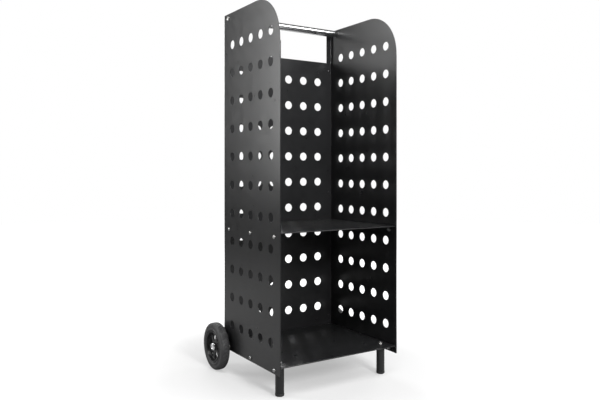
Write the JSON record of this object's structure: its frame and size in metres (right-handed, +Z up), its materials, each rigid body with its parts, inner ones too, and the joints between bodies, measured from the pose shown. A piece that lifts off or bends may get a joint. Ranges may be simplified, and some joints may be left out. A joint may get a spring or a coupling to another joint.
{
  "type": "firewood log rack",
  "caption": "Upright firewood trolley of black perforated sheet steel with an upper and a lower log compartment, a polished tilt bar, rear wheels and front tube legs.",
  "frame": {"origin": "on the floor, under the centre of the whole rack's box", "axes": "+Z is up and -Y is the open front. +X points to the right hand of a person who stands in front and looks at the rack. Left and right in the node names are that person's."},
  "size_m": [0.47, 0.415, 1.074],
  "materials": {
    "black_coat": "satin fine-texture powder coat",
    "polished_steel": "polished stainless tube",
    "chrome": "bright",
    "zinc_steel": "bright zinc plate",
    "black_rivet": "black lacquered rivet",
    "foot_plastic": "moulded black plastic",
    "tyre": "matt black rubber",
    "rim_plastic": "glossy moulded black plastic"
  },
  "bodies": {
    "rack": {"left_side_panel": "black_coat", "right_side_panel": "black_coat", "back_panel": "black_coat", "middle_shelf": "black_coat", "bottom_shelf": "black_coat", "left_leg": "black_coat", "right_leg": "black_coat", "left_axle_bracket": "black_coat", "right_axle_bracket": "black_coat", "handle_bar": "polished_steel", "left_axle_cap": "chrome", "right_axle_cap": "chrome", "left_handle_bolt": "zinc_steel", "right_handle_bolt": "zinc_steel", "left_leg_bolt": "zinc_steel", "right_leg_bolt": "zinc_steel", "middle_shelf_front_screw_left": "zinc_steel", "middle_shelf_front_screw_right": "zinc_steel", "middle_shelf_centre_screw_left": "zinc_steel", "middle_shelf_centre_screw_right": "zinc_steel", "middle_shelf_rear_screw_left": "zinc_steel", "middle_shelf_rear_screw_right": "zinc_steel", "bottom_shelf_front_screw_left": "zinc_steel", "bottom_shelf_front_screw_right": "zinc_steel", "bottom_shelf_centre_screw_left": "zinc_steel", "bottom_shelf_centre_screw_right": "zinc_steel", "bottom_shelf_rear_screw_left": "zinc_steel", "bottom_shelf_rear_screw_right": "zinc_steel", "middle_shelf_front_nut_left": "zinc_steel", "middle_shelf_front_nut_right": "zinc_steel", "middle_shelf_centre_nut_left": "zinc_steel", "middle_shelf_centre_nut_right": "zinc_steel", "middle_shelf_rear_nut_left": "zinc_steel", "middle_shelf_rear_nut_right": "zinc_steel", "bottom_shelf_front_nut_left": "zinc_steel", "bottom_shelf_front_nut_right": "zinc_steel", "bottom_shelf_centre_nut_left": "zinc_steel", "bottom_shelf_centre_nut_right": "zinc_steel", "bottom_shelf_rear_nut_left": "zinc_steel", "bottom_shelf_rear_nut_right": "zinc_steel", "left_handle_plug": "zinc_steel", "right_handle_plug": "zinc_steel", "left_leg_plug": "zinc_steel", "right_leg_plug": "zinc_steel", "axle": "zinc_steel", "left_back_rivet_middle": "black_rivet", "left_back_rivet_top": "black_rivet", "right_back_rivet_middle": "black_rivet", "right_back_rivet_top": "black_rivet", "left_bracket_rivet_low": "black_rivet", "left_bracket_rivet_high": "black_rivet", "right_bracket_rivet_low": "black_rivet", "right_bracket_rivet_high": "black_rivet", "left_foot_cap": "foot_plastic", "right_foot_cap": "foot_plastic"},
    "left_wheel": {"left_tyre": "tyre", "left_rim": "rim_plastic"},
    "right_wheel": {"right_tyre": "tyre", "right_rim": "rim_plastic"}
  },
  "joints": [
    {"name": "left_wheel_spin", "type": "hinge", "parent": "rack", "child": "left_wheel", "pos_m": [-0.22, 0.1375, 0.07], "axis": [1, 0, 0], "continuous": true},
    {"name": "right_wheel_spin", "type": "hinge", "parent": "rack", "child": "right_wheel", "pos_m": [0.22, 0.1375, 0.07], "axis": [1, 0, 0], "continuous": true}
  ]
}
